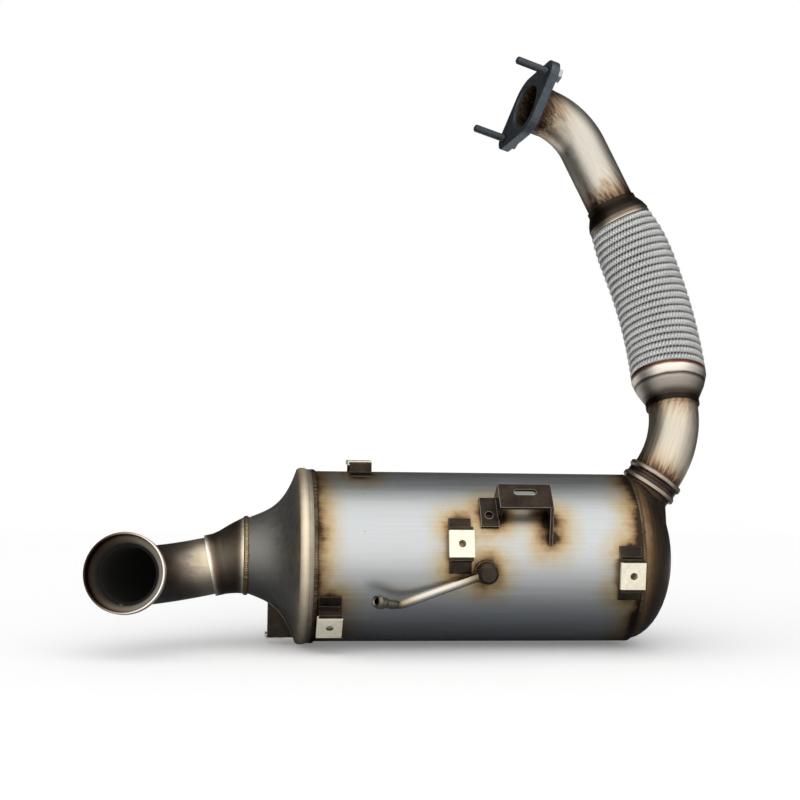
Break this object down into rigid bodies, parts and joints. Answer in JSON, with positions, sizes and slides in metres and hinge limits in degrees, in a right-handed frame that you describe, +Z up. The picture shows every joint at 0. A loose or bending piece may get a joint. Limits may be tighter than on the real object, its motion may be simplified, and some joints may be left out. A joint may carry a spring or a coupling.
{
  "type": "diesel particulate filter",
  "caption": "Cylindrical diesel particulate filter can with a flared inlet elbow, heat-shield brackets, a pressure tap and a braided flexible outlet pipe ending in a studded oval flange.",
  "frame": {"origin": "centre of the inlet mouth, in the plane of its lip", "axes": "+X along the can's axis from inlet to outlet, +Z up as it hangs on the engine, +Y towards the engine"},
  "size_m": [0.5782, 0.2421, 0.5591],
  "materials": {
    "bright_lip": "brushed",
    "inlet_tube": "brushed",
    "cone_steel": "satin",
    "weld_metal": "rough",
    "can_steel": "brushed",
    "dome_steel": "satin",
    "pipe_steel": "brushed",
    "ferrule_steel": "satin",
    "braid_wire": "woven wire",
    "flange_iron": "dark, heat treated",
    "stud_steel": "black oxide",
    "bracket_steel": "scaled by heat",
    "clip_zinc": "zinc plated",
    "catalyst_ceramic": "porous",
    "filter_ceramic": "porous",
    "mat_fibre": "fibre mat"
  },
  "bodies": {
    "root": {"inlet_bell": "bright_lip", "inlet_elbow": "inlet_tube", "inlet_adapter": "inlet_tube", "inlet_cone": "cone_steel", "inlet_cone_weld": "weld_metal", "can_inlet_weld": "weld_metal", "can_outlet_weld": "weld_metal", "flange_weld": "weld_metal", "can_shell": "can_steel", "outlet_cone": "dome_steel", "outlet_collar": "pipe_steel", "lower_pipe": "pipe_steel", "upper_pipe": "pipe_steel", "pressure_pipe": "pipe_steel", "pressure_nipple": "pipe_steel", "lower_ferrule": "ferrule_steel", "upper_ferrule": "ferrule_steel", "flex_braid": "braid_wire", "flex_bellows": "braid_wire", "flex_liner": "braid_wire", "outlet_flange": "flange_iron", "flange_studs": "stud_steel", "shield_bracket_left": "bracket_steel", "shield_bracket_middle": "bracket_steel", "shield_bracket_right": "bracket_steel", "shield_bracket_top": "bracket_steel", "shield_bracket_cone": "bracket_steel", "engine_bracket": "bracket_steel", "pressure_boss": "bracket_steel", "clip_nuts": "clip_zinc", "catalyst_brick": "catalyst_ceramic", "filter_brick": "filter_ceramic", "catalyst_mat": "mat_fibre", "filter_mat": "mat_fibre"}
  },
  "joints": []
}
